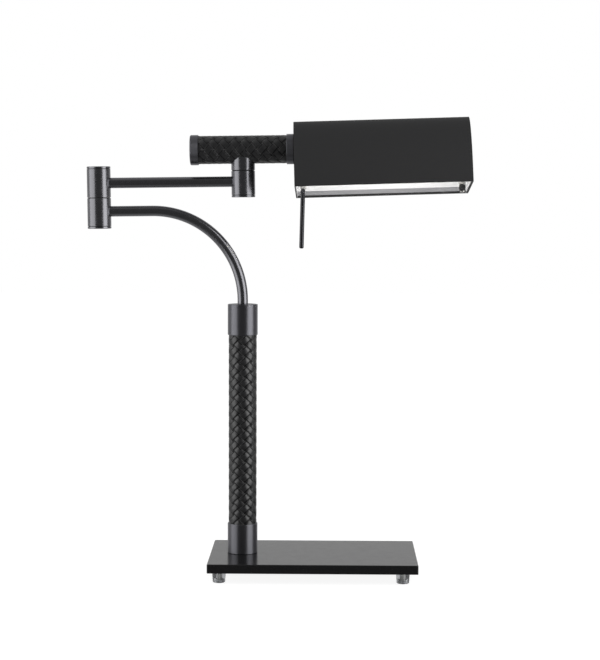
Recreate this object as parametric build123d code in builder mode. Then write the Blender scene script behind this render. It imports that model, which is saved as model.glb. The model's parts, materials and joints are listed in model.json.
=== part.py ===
"""Piano lamp with a swing arm: leather stem, gooseneck, two knuckles, leather handle, long shade.

Millimetres, +Z up. The origin is the middle of the lamp's overall width and depth, at desk height.
The stem stands at stem_x. Everything above the gooseneck leans a little toward -X, as it is bent
slightly past square, and the shade is rolled about the handle so that its near lip (-Y) is raised.
"""
from build123d import *
import os

# ---- Where the lamp stands ----
stem_x = -39.48
base_left = -35.8
base_width = 230.6
base_depth = 149.2
base_thickness = 10.0
base_corner = 1.2
base_top_edge = 0.7
base_bottom_edge = 0.4
foot_height = 12.2

# ---- Feet ----
foot_inset = 14.6
foot_shift = -1.9
foot_top_radius = 7.7
foot_bottom_radius = 6.8
foot_edge = 1.4
foot_recess_radius = 3.7
foot_recess_depth = 5.0
foot_screw_radius = 2.0
foot_screw_length = 12.0
foot_screw_head_radius = 3.3
foot_screw_head = 2.3
foot_screw_drive = 1.2
foot_screw_edge = 0.6

# ---- Stem ----
lower_ferrule_top = 55.7
upper_ferrule_bottom = 267.7
upper_ferrule_top = 302.0
ferrule_radius = 16.75
ferrule_edge = 0.6
leather_tuck = 6.0
stem_leather_radius = 15.75
stem_core_radius = 13.0
stem_core_bore = 11.0
tie_rod_radius = 5.0
tie_rod_bore = 4.0
tie_rod_bottom = 9.2
tie_rod_top = 291.4
plug_bottom = 284.9
neck_foot = 292.4
ferrule_web = 3.0
nut_recess_radius = 13.0
nut_recess_depth = 5.5
base_washer_radius = 11.0
base_washer_thickness = 1.5
bush_bore = 3.2
bush_flange_radius = 6.5
bush_flange = 1.5
bush_spigot = 3.0
bush_edge = 0.5
grub_screw_radius = 2.0
grub_screw_length = 8.0
grub_screw_height = 297.3
grub_drive = 1.15
grub_drive_depth = 2.5

# ---- Gooseneck and arm ----
lean = 0.8
tube_radius = 5.85
tube_bore = 4.5
bend_start = 306.1
bend_radius = 99.4
neck_run = 59.2
arm_above_neck = 31.5
arm_reach = 160.9

# ---- Knuckles ----
knuckle_radius = 13.15
knuckle_bore = 9.5
knuckle_web = 4.0
knuckle_edge = 0.35
tube_end = 9.6
cap_edge = 0.7
cap_spigot_radius = 9.4
cap_spigot = 3.0
cap_neck_radius = 12.3
cap_neck = 0.4
elbow_seam = -16.4
upper_knuckle_top = 15.7
upper_cap = 2.75
lower_knuckle_bottom = -47.8
lower_cap = 2.8
head_seam = 12.2
head_knuckle_bottom = -14.85
head_cap = 2.65
seam_half = 0.4
washer_radius = 12.3
washer_thickness = 0.75
rubbing_gap = 0.1

# ---- Spindles, nuts and spring washers, the same size in all three swivels ----
spindle_radius = 5.0
spindle_bore = 3.5
running_fit = 0.06
nut_flats = 14.0
nut_height = 5.0
spring_washer_radius = 8.4
spring_washer = 1.6
spindle_tail = 0.8

# ---- Handle ----
handle_rise = 35.3
handle_left = -58.4
end_cap_length = 9.0
end_cap_wall = 3.0
end_cap_edge = 1.4
handle_ferrule_edge = 0.5
ferrule_left = 48.6
handle_right = 56.4
handle_fitting_radius = 16.75
handle_tube_radius = 14.0
handle_tube_bore = 12.0
handle_leather_radius = 15.7
handle_tuck = 4.0
tilt_spindle_root = 47.2
tilt_washer_radius = 9.0
tilt_washer = 0.4
tilt_play = 0.3

# ---- Shade, in a frame whose X axis starts at its inner end, on the tilt axis ----
shade_start = 57.0
shade_rake = 1.0
shade_roll = 8.3
shade_length = 194.2
shade_half_width = 45.0
shade_lip = -48.5
shade_ridge = 30.1
shade_sheet = 1.5
inner_plate = 1.5
outer_plate = 2.8
liner_gap = 0.05
liner_sheet = 0.5
liner_hem = 2.5

# ---- Light bar inside the shade ----
bar_top = 22.0
bar_half_width = 15.0
bar_wall = 2.0
bar_depth = 11.0
bar_body_inset = 14.0
tab_half_width = 10.0
tab_bottom = 11.0
bar_screw_radius = 1.5
bar_screw_head_radius = 2.75
bar_screw_head = 1.8
bar_screw_spread = 6.0
bar_screw_height = 15.5
bar_screw_play = 0.1
outer_plate_skin = 0.6
board_half_width = 10.0
board_thickness = 1.6
diffuser_half_width = 12.9
diffuser_wall = 1.5

# ---- Switch and dimmer, which hang on brackets at the two ends of the shade ----
bracket_sheet = 1.2
bracket_half_width = 7.0
bracket_top = -18.0
bracket_shelf = -36.0
bracket_reach = 14.6
control_half_depth = 6.5
control_half_width = 5.3
control_top = -20.5
control_edge = 0.4
switch_hole_depth = 3.0
dimmer_hole_depth = 1.0
switch_x = 8.9
switch_bush_radius = 3.15
switch_bush_bore = 2.55
switch_bush_bottom = -45.0
lever_pivot = -39.0
lever_rest = 3.0
lever_radius = 2.5
lever_neck = 1.3
lever_tail = 4.0
lever_pin_radius = 0.6
lever_pin_reach = 2.75
lever_ball = 2.45
lever_shoulder = -45.7
lever_tip = -111.3
lever_tip_edge = 1.6
dimmer_x = 184.7
dimmer_bush_radius = 3.7
dimmer_bush_bottom = -44.6
dimmer_shaft_radius = 1.6
dimmer_shaft_top = -35.2
knob_radius = 3.55
knob_top = -45.0
knob_bottom = -51.8
knob_edge = 1.2
insert_radius = 2.8
insert_bottom = -53.6
insert_edge = 0.6


def leaning(origin, angle):
    """A plane at origin whose Z axis leans toward -X by angle degrees."""
    x_dir = Vector(1, 0, 0).rotate(Axis.Y, -angle)
    z_dir = Vector(0, 0, 1).rotate(Axis.Y, -angle)
    return Plane(origin=origin, x_dir=x_dir, z_dir=z_dir)


def upward(frame, x=0.0, z=0.0):
    """A plane at a point of the frame that faces along the frame's +Z."""
    return Plane(origin=frame.from_local_coords((x, 0, z)), x_dir=frame.x_dir, z_dir=frame.z_dir)


def downward(frame, x=0.0, z=0.0):
    """A plane at a point of the frame that faces along the frame's -Z."""
    return Plane(origin=frame.from_local_coords((x, 0, z)), x_dir=frame.x_dir, z_dir=-frame.z_dir)


def across(frame, x=0.0):
    """A plane at a distance along the frame's +X that faces along it; its X and Y are the frame's Y and Z."""
    return Plane(origin=frame.from_local_coords((x, 0, 0)), x_dir=frame.y_dir, z_dir=frame.x_dir)


def finish(piece, name):
    """Label a sub-part and write it as its own STEP file."""
    piece.part.label = name
    export_step(piece.part, f"parts/{name}.step")


def tube(plane, outer, inner, length):
    """A round tube or ring that runs along the plane's Z axis."""
    with BuildPart() as piece:
        with BuildSketch(plane):
            Circle(outer)
            Circle(inner, mode=Mode.SUBTRACT)
        extrude(amount=length)
    return piece


def nut(plane):
    """A hexagon nut on a spindle."""
    with BuildPart() as piece:
        with BuildSketch(plane):
            RegularPolygon(nut_flats / 2, 6, major_radius=False)
            Circle(spindle_radius, mode=Mode.SUBTRACT)
        extrude(amount=nut_height)
    return piece


def knuckle(plane, length, hole_radius, tube_height, facing):
    """A barrel with a web at the plane, open at its far end, and a round socket in its side."""
    socket = Plane(
        origin=plane.from_local_coords((0, 0, tube_height)), x_dir=plane.z_dir, z_dir=plane.x_dir * facing
    )
    with BuildPart() as piece:
        with BuildSketch(plane):
            Circle(knuckle_radius)
        extrude(amount=length)
        fillet(piece.edges().filter_by(GeomType.CIRCLE), knuckle_edge)
        with BuildSketch(plane.offset(knuckle_web)):
            Circle(knuckle_bore)
        extrude(amount=length - knuckle_web, mode=Mode.SUBTRACT)
        with BuildSketch(plane):
            Circle(hole_radius)
        extrude(amount=knuckle_web, mode=Mode.SUBTRACT)
        with BuildSketch(socket):
            Circle(tube_radius)
        extrude(amount=knuckle_radius, mode=Mode.SUBTRACT)
    return piece


def knuckle_cap(plane, thickness):
    """A disc that closes a knuckle, on a neck that leaves a groove and a spigot that enters the bore."""
    with BuildPart() as piece:
        with BuildSketch(plane.offset(cap_neck)):
            Circle(knuckle_radius)
        extrude(amount=thickness - cap_neck)
        outer_rim = piece.edges().group_by(Axis(plane.origin, plane.z_dir))[-1]
        fillet(outer_rim, cap_edge)
        with BuildSketch(plane):
            Circle(cap_neck_radius)
        extrude(amount=cap_neck)
        with BuildSketch(plane):
            Circle(cap_spigot_radius)
        extrude(amount=-cap_spigot)
    return piece


def half_ellipse(half_width, height):
    """The upper half of an ellipse that stands on the shade's lip line, for a sketch across the shade."""
    with Locations((0, shade_lip)):
        Ellipse(half_width, height)
    with Locations((0, shade_lip)):
        Rectangle(2 * half_width, height, align=(Align.CENTER, Align.MIN), mode=Mode.INTERSECT)


os.makedirs("parts", exist_ok=True)

# ---- Frames of the pieces above the stem ----
desk = Plane(origin=(stem_x, 0, 0), x_dir=(1, 0, 0), z_dir=(0, 0, 1))
bend_centre = Vector(stem_x - bend_radius, 0, bend_start)


def on_bend(angle):
    """The point of the gooseneck's centre line after a bend of angle degrees."""
    return bend_centre + Vector(bend_radius, 0, 0).rotate(Axis.Y, -angle)


bend_end = on_bend(90 + lean)
elbow_base = leaning(bend_end, lean)
elbow = upward(elbow_base, -neck_run, arm_above_neck)
head = upward(elbow, arm_reach, 0)
handle = upward(head, 0, handle_rise)
shade_square = leaning(handle.from_local_coords((shade_start, 0, 0)), lean + shade_rake)
shade = Plane(
    origin=shade_square.origin,
    x_dir=shade_square.x_dir,
    z_dir=shade_square.z_dir.rotate(Axis((0, 0, 0), shade_square.x_dir), -shade_roll),
)
base_top = foot_height + base_thickness
base_middle = stem_x + base_left + base_width / 2

# ---- Base plate ----
foot_places = {
    "foot_front_left": (-1, -1),
    "foot_front_right": (1, -1),
    "foot_rear_left": (-1, 1),
    "foot_rear_right": (1, 1),
}
foot_middle = base_middle + foot_shift
foot_x = base_width / 2 - foot_inset
foot_y = base_depth / 2 - foot_inset
foot_spots = {name: (foot_middle + sx * foot_x, sy * foot_y) for name, (sx, sy) in foot_places.items()}

with BuildPart() as base_plate:
    with BuildSketch(Plane.XY.offset(foot_height)):
        with Locations((base_middle, 0)):
            RectangleRounded(base_width, base_depth, base_corner)
    extrude(amount=base_thickness)
    chamfer(base_plate.faces().sort_by(Axis.Z)[-1].edges(), base_top_edge)
    chamfer(base_plate.faces().sort_by(Axis.Z)[0].edges(), base_bottom_edge)
    with BuildSketch(Plane.XY.offset(foot_height)):
        with Locations((stem_x, 0)):
            Circle(nut_recess_radius)
    extrude(amount=nut_recess_depth, mode=Mode.SUBTRACT)
    with BuildSketch(Plane.XY.offset(foot_height)):
        with Locations((stem_x, 0)):
            Circle(tie_rod_radius + running_fit)
    extrude(amount=base_thickness, mode=Mode.SUBTRACT)
    with BuildSketch(Plane.XY.offset(foot_height)):
        with Locations(*foot_spots.values()):
            Circle(foot_screw_radius)
    extrude(amount=foot_screw_length + foot_recess_depth - foot_height, mode=Mode.SUBTRACT)
finish(base_plate, "base_plate")

# ---- Feet and their screws ----
for name, spot in foot_spots.items():
    with BuildPart() as foot:
        with BuildSketch():
            with Locations(spot):
                Circle(foot_bottom_radius)
        with BuildSketch(Plane.XY.offset(foot_height)):
            with Locations(spot):
                Circle(foot_top_radius)
        loft()
        fillet(foot.edges().group_by(Axis.Z)[0], foot_edge)
        with BuildSketch():
            with Locations(spot):
                Circle(foot_recess_radius)
        extrude(amount=foot_recess_depth, mode=Mode.SUBTRACT)
        with BuildSketch():
            with Locations(spot):
                Circle(foot_screw_radius)
        extrude(amount=foot_height, mode=Mode.SUBTRACT)
    finish(foot, name)

with BuildPart() as foot_screws:
    with BuildSketch(Plane.XY.offset(foot_recess_depth)):
        with Locations(*foot_spots.values()):
            Circle(foot_screw_head_radius)
    extrude(amount=-foot_screw_head)
    fillet(foot_screws.edges().group_by(Axis.Z)[0], foot_screw_edge)
    with BuildSketch(Plane.XY.offset(foot_recess_depth)):
        with Locations(*foot_spots.values()):
            Circle(foot_screw_radius)
    extrude(amount=foot_screw_length)
    with BuildSketch(Plane.XY.offset(foot_recess_depth - foot_screw_head)):
        with Locations(*foot_spots.values()):
            RegularPolygon(foot_screw_drive, 6)
    extrude(amount=foot_screw_drive, mode=Mode.SUBTRACT)
finish(foot_screws, "foot_screws")

# ---- Tie rod, which clamps the stem to the base ----
tie_rod = tube(desk.offset(tie_rod_bottom), tie_rod_radius, tie_rod_bore, tie_rod_top - tie_rod_bottom)
finish(tie_rod, "tie_rod")

washer_bottom = foot_height + nut_recess_depth - base_washer_thickness
base_washer = tube(desk.offset(washer_bottom), base_washer_radius, tie_rod_radius, base_washer_thickness)
finish(base_washer, "base_washer")

base_nut = nut(desk.offset(washer_bottom - nut_height))
finish(base_nut, "base_nut")

with BuildPart() as cable_bush:
    with BuildSketch(desk.offset(tie_rod_bottom)):
        Circle(bush_flange_radius)
    extrude(amount=-bush_flange)
    fillet(cable_bush.edges().group_by(Axis.Z)[0], bush_edge)
    with BuildSketch(desk.offset(tie_rod_bottom)):
        Circle(tie_rod_bore)
    extrude(amount=bush_spigot)
    with BuildSketch(desk.offset(tie_rod_bottom - bush_flange)):
        Circle(bush_bore)
    extrude(amount=bush_flange + bush_spigot, mode=Mode.SUBTRACT)
finish(cable_bush, "cable_bush")

# ---- Stem ----
with BuildPart() as lower_ferrule:
    with BuildSketch(desk.offset(base_top)):
        Circle(ferrule_radius)
    extrude(amount=lower_ferrule_top - base_top)
    fillet(lower_ferrule.edges().filter_by(GeomType.CIRCLE), ferrule_edge)
    with BuildSketch(desk.offset(base_top + ferrule_web)):
        Circle(stem_core_radius)
    extrude(amount=lower_ferrule_top - base_top - ferrule_web, mode=Mode.SUBTRACT)
    with BuildSketch(desk.offset(lower_ferrule_top)):
        Circle(stem_leather_radius)
    extrude(amount=-leather_tuck, mode=Mode.SUBTRACT)
    with BuildSketch(desk.offset(base_top)):
        Circle(tie_rod_radius)
    extrude(amount=ferrule_web, mode=Mode.SUBTRACT)
finish(lower_ferrule, "lower_ferrule")

core_bottom = base_top + ferrule_web
stem_tube = tube(desk.offset(core_bottom), stem_core_radius, stem_core_bore, plug_bottom - core_bottom)
finish(stem_tube, "stem_tube")

sleeve_bottom = lower_ferrule_top - leather_tuck
sleeve_length = upper_ferrule_bottom + leather_tuck - sleeve_bottom
stem_sleeve = tube(desk.offset(sleeve_bottom), stem_leather_radius, stem_core_radius, sleeve_length)
finish(stem_sleeve, "stem_sleeve")

grub_axis = Plane(origin=(stem_x, 0, grub_screw_height), x_dir=(1, 0, 0), z_dir=(0, 1, 0))
with BuildPart() as upper_ferrule:
    with BuildSketch(desk.offset(upper_ferrule_bottom)):
        Circle(ferrule_radius)
    extrude(amount=upper_ferrule_top - upper_ferrule_bottom)
    fillet(upper_ferrule.edges().filter_by(GeomType.CIRCLE), ferrule_edge)
    with BuildSketch(desk.offset(upper_ferrule_bottom)):
        Circle(stem_leather_radius)
    extrude(amount=leather_tuck, mode=Mode.SUBTRACT)
    with BuildSketch(desk.offset(upper_ferrule_bottom)):
        Circle(stem_core_radius)
    extrude(amount=plug_bottom - upper_ferrule_bottom, mode=Mode.SUBTRACT)
    with BuildSketch(desk.offset(plug_bottom)):
        Circle(tie_rod_radius)
    extrude(amount=tie_rod_top - plug_bottom, mode=Mode.SUBTRACT)
    with BuildSketch(desk.offset(tie_rod_top)):
        Circle(tie_rod_bore)
    extrude(amount=neck_foot - tie_rod_top, mode=Mode.SUBTRACT)
    with BuildSketch(desk.offset(neck_foot)):
        Circle(tube_radius)
    extrude(amount=upper_ferrule_top - neck_foot, mode=Mode.SUBTRACT)
    with BuildSketch(grub_axis):
        Circle(grub_screw_radius)
    extrude(amount=ferrule_radius, mode=Mode.SUBTRACT)
finish(upper_ferrule, "upper_ferrule")

with BuildPart() as grub_screw:
    with BuildSketch(grub_axis.offset(tube_radius)):
        Circle(grub_screw_radius)
    extrude(amount=grub_screw_length)
    with BuildSketch(grub_axis.offset(tube_radius + grub_screw_length)):
        RegularPolygon(grub_drive, 6)
    extrude(amount=-grub_drive_depth, mode=Mode.SUBTRACT)
finish(grub_screw, "grub_screw")

# ---- Gooseneck: up out of the ferrule, round the bend, and out to the lower knuckle ----
with BuildPart() as gooseneck:
    with BuildLine() as neck_line:
        Line((stem_x, 0, neck_foot), (stem_x, 0, bend_start))
        ThreePointArc((stem_x, 0, bend_start), on_bend(45), bend_end)
        Line(bend_end, elbow_base.from_local_coords((tube_end - neck_run, 0, 0)))
    with BuildSketch(desk.offset(neck_foot)):
        Circle(tube_radius)
        Circle(tube_bore, mode=Mode.SUBTRACT)
    sweep(path=neck_line.wire())
finish(gooseneck, "gooseneck")

# ---- Elbow: lower knuckle, spindle and washers (fixed), upper knuckle (swings) ----
lower_web = elbow_seam - seam_half
upper_web = elbow_seam + seam_half
lower_knuckle = knuckle(
    downward(elbow, z=lower_web),
    lower_web - lower_knuckle_bottom,
    spindle_radius,
    lower_web + arm_above_neck,
    1,
)
finish(lower_knuckle, "lower_knuckle")

lower_knuckle_cap = knuckle_cap(downward(elbow, z=lower_knuckle_bottom), lower_cap)
finish(lower_knuckle_cap, "lower_knuckle_cap")

elbow_friction_washer = tube(upward(elbow, z=lower_web), washer_radius, spindle_radius, washer_thickness)
finish(elbow_friction_washer, "elbow_friction_washer")

elbow_lower_nut = nut(downward(elbow, z=lower_web - knuckle_web))
finish(elbow_lower_nut, "elbow_lower_nut")

elbow_spring_bottom = upper_web + knuckle_web + rubbing_gap
elbow_spring_washer = tube(
    upward(elbow, z=elbow_spring_bottom), spring_washer_radius, spindle_radius, spring_washer
)
finish(elbow_spring_washer, "elbow_spring_washer")

elbow_nut_bottom = elbow_spring_bottom + spring_washer
elbow_upper_nut = nut(upward(elbow, z=elbow_nut_bottom))
finish(elbow_upper_nut, "elbow_upper_nut")

elbow_spindle_bottom = lower_web - knuckle_web - nut_height - spindle_tail
elbow_spindle_length = elbow_nut_bottom + nut_height + spindle_tail - elbow_spindle_bottom
elbow_spindle = tube(
    upward(elbow, z=elbow_spindle_bottom), spindle_radius, spindle_bore, elbow_spindle_length
)
finish(elbow_spindle, "elbow_spindle")

upper_knuckle = knuckle(
    upward(elbow, z=upper_web), upper_knuckle_top - upper_web, spindle_radius + running_fit, -upper_web, 1
)
finish(upper_knuckle, "upper_knuckle")

upper_knuckle_cap = knuckle_cap(upward(elbow, z=upper_knuckle_top), upper_cap)
finish(upper_knuckle_cap, "upper_knuckle_cap")

# ---- Swing arm and head knuckle ----
swing_arm = tube(across(elbow, tube_end), tube_radius, tube_bore, arm_reach - 2 * tube_end)
finish(swing_arm, "swing_arm")

head_web = head_seam - seam_half
head_knuckle = knuckle(
    downward(head, z=head_web), head_web - head_knuckle_bottom, spindle_radius + running_fit, head_web, -1
)
finish(head_knuckle, "head_knuckle")

head_knuckle_cap = knuckle_cap(downward(head, z=head_knuckle_bottom), head_cap)
finish(head_knuckle_cap, "head_knuckle_cap")

head_friction_washer = tube(
    upward(head, z=head_web), washer_radius, spindle_radius + running_fit, washer_thickness
)
finish(head_friction_washer, "head_friction_washer")

# ---- Saddle: a short barrel coped to the handle tube, on its own spindle ----
saddle_bottom = head_seam + seam_half
handle_bottom = handle_rise - handle_tube_radius
with BuildPart() as saddle:
    with BuildSketch(upward(head, z=saddle_bottom)):
        Circle(knuckle_radius)
    extrude(amount=handle_rise - saddle_bottom)
    fillet(saddle.edges().group_by(Axis(head.origin, head.z_dir))[0], knuckle_edge)
    with BuildSketch(across(handle, -knuckle_radius)):
        Circle(handle_tube_radius)
    extrude(amount=2 * knuckle_radius, mode=Mode.SUBTRACT)
    with BuildSketch(upward(head, z=saddle_bottom)):
        Circle(spindle_radius)
    extrude(amount=handle_rise - saddle_bottom, mode=Mode.SUBTRACT)
finish(saddle, "saddle")

head_spring_top = head_web - knuckle_web - rubbing_gap
head_spring_washer = tube(
    downward(head, z=head_spring_top), spring_washer_radius, spindle_radius, spring_washer
)
finish(head_spring_washer, "head_spring_washer")

head_nut_top = head_spring_top - spring_washer
head_nut = nut(downward(head, z=head_nut_top))
finish(head_nut, "head_nut")

head_spindle_bottom = head_nut_top - nut_height - spindle_tail
head_spindle_top = handle_bottom - rubbing_gap
head_spindle = tube(
    upward(head, z=head_spindle_bottom), spindle_radius, spindle_bore, head_spindle_top - head_spindle_bottom
)
finish(head_spindle, "head_spindle")

# ---- Handle ----
tube_left = handle_left + end_cap_wall
tube_right = handle_right - end_cap_wall
with BuildPart() as handle_tube:
    with BuildSketch(across(handle, tube_left)):
        Circle(handle_tube_radius)
        Circle(handle_tube_bore, mode=Mode.SUBTRACT)
    extrude(amount=tube_right - tube_left)
    with BuildSketch(downward(handle)):
        Circle(spindle_bore)
    extrude(amount=handle_tube_radius, mode=Mode.SUBTRACT)
finish(handle_tube, "handle_tube")

leather_left = handle_left + end_cap_length - handle_tuck
leather_right = ferrule_left + handle_tuck
with BuildPart() as handle_sleeve:
    with BuildSketch(across(handle, leather_left)):
        Circle(handle_leather_radius)
        Circle(handle_tube_radius, mode=Mode.SUBTRACT)
    extrude(amount=leather_right - leather_left)
    with BuildSketch(downward(handle)):
        Circle(knuckle_radius + rubbing_gap)
    extrude(amount=handle_leather_radius, mode=Mode.SUBTRACT)
finish(handle_sleeve, "handle_sleeve")

with BuildPart() as handle_end_cap:
    with BuildSketch(across(handle, handle_left)):
        Circle(handle_fitting_radius)
    extrude(amount=end_cap_length)
    fillet(handle_end_cap.edges().filter_by(GeomType.CIRCLE).sort_by(Axis.X)[0], end_cap_edge)
    with BuildSketch(across(handle, tube_left)):
        Circle(handle_tube_radius)
    extrude(amount=end_cap_length, mode=Mode.SUBTRACT)
    with BuildSketch(across(handle, leather_left)):
        Circle(handle_leather_radius)
    extrude(amount=end_cap_length, mode=Mode.SUBTRACT)
finish(handle_end_cap, "handle_end_cap")

with BuildPart() as handle_ferrule:
    with BuildSketch(across(handle, ferrule_left)):
        Circle(handle_fitting_radius)
    extrude(amount=handle_right - ferrule_left)
    fillet(handle_ferrule.edges().filter_by(GeomType.CIRCLE), handle_ferrule_edge)
    with BuildSketch(across(handle, ferrule_left)):
        Circle(handle_tube_radius)
    extrude(amount=tube_right - ferrule_left, mode=Mode.SUBTRACT)
    with BuildSketch(across(handle, ferrule_left)):
        Circle(handle_leather_radius)
    extrude(amount=handle_tuck, mode=Mode.SUBTRACT)
    with BuildSketch(across(handle, tube_right)):
        Circle(spindle_radius)
    extrude(amount=end_cap_wall, mode=Mode.SUBTRACT)
finish(handle_ferrule, "handle_ferrule")

# ---- Tilt swivel between the handle and the shade ----
tilt_inner_nut = nut(across(handle, tube_right - nut_height))
finish(tilt_inner_nut, "tilt_inner_nut")

tilt_friction_washer = tube(across(handle, handle_right), tilt_washer_radius, spindle_radius, tilt_washer)
finish(tilt_friction_washer, "tilt_friction_washer")

tilt_spring_left = shade_start + inner_plate + tilt_play
tilt_spring_washer = tube(
    across(handle, tilt_spring_left), spring_washer_radius, spindle_radius, spring_washer
)
finish(tilt_spring_washer, "tilt_spring_washer")

tilt_nut_left = tilt_spring_left + spring_washer
tilt_nut = nut(across(handle, tilt_nut_left))
finish(tilt_nut, "tilt_nut")

tilt_spindle_end = tilt_nut_left + nut_height + spindle_tail
tilt_spindle = tube(
    across(handle, tilt_spindle_root), spindle_radius, spindle_bore, tilt_spindle_end - tilt_spindle_root
)
finish(tilt_spindle, "tilt_spindle")

# ---- Shade shell and its end plates ----
shade_height = shade_ridge - shade_lip
shell_length = shade_length - inner_plate - outer_plate
with BuildPart() as shade_shell:
    with BuildSketch(across(shade, inner_plate)):
        half_ellipse(shade_half_width, shade_height)
    extrude(amount=shell_length)
    with BuildSketch(across(shade, inner_plate)):
        half_ellipse(shade_half_width - shade_sheet, shade_height - shade_sheet)
    extrude(amount=shell_length, mode=Mode.SUBTRACT)
finish(shade_shell, "shade_shell")

bar_screw_spots = [(-bar_screw_spread, bar_screw_height), (bar_screw_spread, bar_screw_height)]
with BuildPart() as shade_inner_end:
    with BuildSketch(across(shade)):
        half_ellipse(shade_half_width, shade_height)
    extrude(amount=inner_plate)
    with BuildSketch(across(handle, shade_start - inner_plate)):
        Circle(spindle_radius + running_fit)
    extrude(amount=3 * inner_plate, mode=Mode.SUBTRACT)
    with BuildSketch(across(shade)):
        with Locations(*bar_screw_spots):
            Circle(bar_screw_radius)
    extrude(amount=inner_plate, mode=Mode.SUBTRACT)
finish(shade_inner_end, "shade_inner_end")

outer_plate_x = shade_length - outer_plate
with BuildPart() as shade_outer_end:
    with BuildSketch(across(shade, outer_plate_x)):
        half_ellipse(shade_half_width, shade_height)
    extrude(amount=outer_plate)
    with BuildSketch(across(shade, outer_plate_x)):
        with Locations(*bar_screw_spots):
            Circle(bar_screw_radius)
    extrude(amount=outer_plate - outer_plate_skin, mode=Mode.SUBTRACT)
finish(shade_outer_end, "shade_outer_end")

# ---- White liner: a thin sheet against the shell that stops short of the lips ----
liner_outer = shade_sheet + liner_gap
liner_inner = liner_outer + liner_sheet
with BuildPart() as reflector:
    with BuildSketch(across(shade, inner_plate + liner_gap)):
        half_ellipse(shade_half_width - liner_outer, shade_height - liner_outer)
    extrude(amount=shell_length - 2 * liner_gap)
    with BuildSketch(across(shade, inner_plate + liner_gap)):
        half_ellipse(shade_half_width - liner_inner, shade_height - liner_inner)
    extrude(amount=shell_length - 2 * liner_gap, mode=Mode.SUBTRACT)
    with BuildSketch(across(shade)):
        with Locations((0, shade_lip)):
            Rectangle(2 * shade_half_width, liner_hem, align=(Align.CENTER, Align.MIN))
    extrude(amount=shade_length, mode=Mode.SUBTRACT)
finish(reflector, "reflector")

# ---- Light bar: a channel with a tab at each end, board and diffuser ----
bar_right = shade_length - outer_plate
bar_body_right = shade_length - bar_body_inset
flange_height = bar_depth - bar_wall
with BuildPart() as light_bar:
    with BuildSketch(across(shade, inner_plate)):
        with Locations((0, bar_top)):
            Rectangle(2 * tab_half_width, bar_wall, align=(Align.CENTER, Align.MAX))
    extrude(amount=bar_right - inner_plate)
    with BuildSketch(across(shade, bar_body_inset)):
        with Locations((0, bar_top)):
            Rectangle(2 * bar_half_width, bar_depth, align=(Align.CENTER, Align.MAX))
        with Locations((0, bar_top - bar_wall)):
            Rectangle(
                2 * (bar_half_width - bar_wall),
                flange_height,
                align=(Align.CENTER, Align.MAX),
                mode=Mode.SUBTRACT,
            )
    extrude(amount=bar_body_right - bar_body_inset)
    for tab_x in (inner_plate, bar_right - bar_wall):
        with BuildSketch(across(shade, tab_x)):
            with Locations((0, tab_bottom)):
                Rectangle(2 * tab_half_width, bar_top - tab_bottom, align=(Align.CENTER, Align.MIN))
            with Locations(*bar_screw_spots):
                Circle(bar_screw_radius, mode=Mode.SUBTRACT)
        extrude(amount=bar_wall)
finish(light_bar, "light_bar")

with BuildPart() as bar_screws:
    for head_x, shank_end, inward in (
        (inner_plate + bar_wall, bar_screw_play, 1),
        (bar_right - bar_wall, shade_length - outer_plate_skin - bar_screw_play, -1),
    ):
        with BuildSketch(across(shade, head_x)):
            with Locations(*bar_screw_spots):
                Circle(bar_screw_head_radius)
        extrude(amount=inward * bar_screw_head)
        with BuildSketch(across(shade, head_x)):
            with Locations(*bar_screw_spots):
                Circle(bar_screw_radius)
        extrude(amount=shank_end - head_x)
finish(bar_screws, "bar_screws")

board_top = bar_top - bar_wall
with BuildPart() as led_board:
    with BuildSketch(across(shade, bar_body_inset + bar_wall)):
        with Locations((0, board_top)):
            Rectangle(2 * board_half_width, board_thickness, align=(Align.CENTER, Align.MAX))
    extrude(amount=bar_body_right - bar_body_inset - 2 * bar_wall)
finish(led_board, "led_board")

with BuildPart() as diffuser:
    with BuildSketch(across(shade, bar_body_inset)):
        with Locations((0, board_top)):
            Rectangle(2 * diffuser_half_width, flange_height, align=(Align.CENTER, Align.MAX))
            Rectangle(
                2 * (diffuser_half_width - diffuser_wall),
                flange_height - diffuser_wall,
                align=(Align.CENTER, Align.MAX),
                mode=Mode.SUBTRACT,
            )
    extrude(amount=bar_body_right - bar_body_inset)
finish(diffuser, "diffuser")


# ---- Switch and dimmer ----
def bracket(plate_x, hole_x, hole_radius, inward):
    """An angle bracket on an end plate whose shelf carries a control's bush."""
    with BuildPart() as piece:
        with BuildSketch(across(shade, plate_x)):
            with Locations((0, bracket_top)):
                Rectangle(
                    2 * bracket_half_width, bracket_top - bracket_shelf, align=(Align.CENTER, Align.MAX)
                )
        extrude(amount=inward * bracket_sheet)
        with BuildSketch(across(shade, plate_x)):
            with Locations((0, bracket_shelf)):
                Rectangle(2 * bracket_half_width, bracket_sheet, align=(Align.CENTER, Align.MAX))
        extrude(amount=inward * bracket_reach)
        with BuildSketch(downward(shade, hole_x, bracket_shelf)):
            Circle(hole_radius)
        extrude(amount=bracket_sheet, mode=Mode.SUBTRACT)
    return piece


def control_body(middle_x):
    """The housing of a switch or dimmer, which stands on its bracket's shelf."""
    with BuildPart() as piece:
        with BuildSketch(upward(shade, middle_x, bracket_shelf)):
            Rectangle(2 * control_half_width, 2 * control_half_depth)
        extrude(amount=control_top - bracket_shelf)
        chamfer(piece.edges(), control_edge)
    return piece


switch_bracket = bracket(inner_plate, switch_x, switch_bush_radius, 1)
finish(switch_bracket, "switch_bracket")

with BuildPart() as switch_body:
    add(control_body(switch_x).part)
    with BuildSketch(upward(shade, switch_x, bracket_shelf)):
        Circle(switch_bush_bore)
    extrude(amount=switch_hole_depth, mode=Mode.SUBTRACT)
finish(switch_body, "switch_body")

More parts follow.
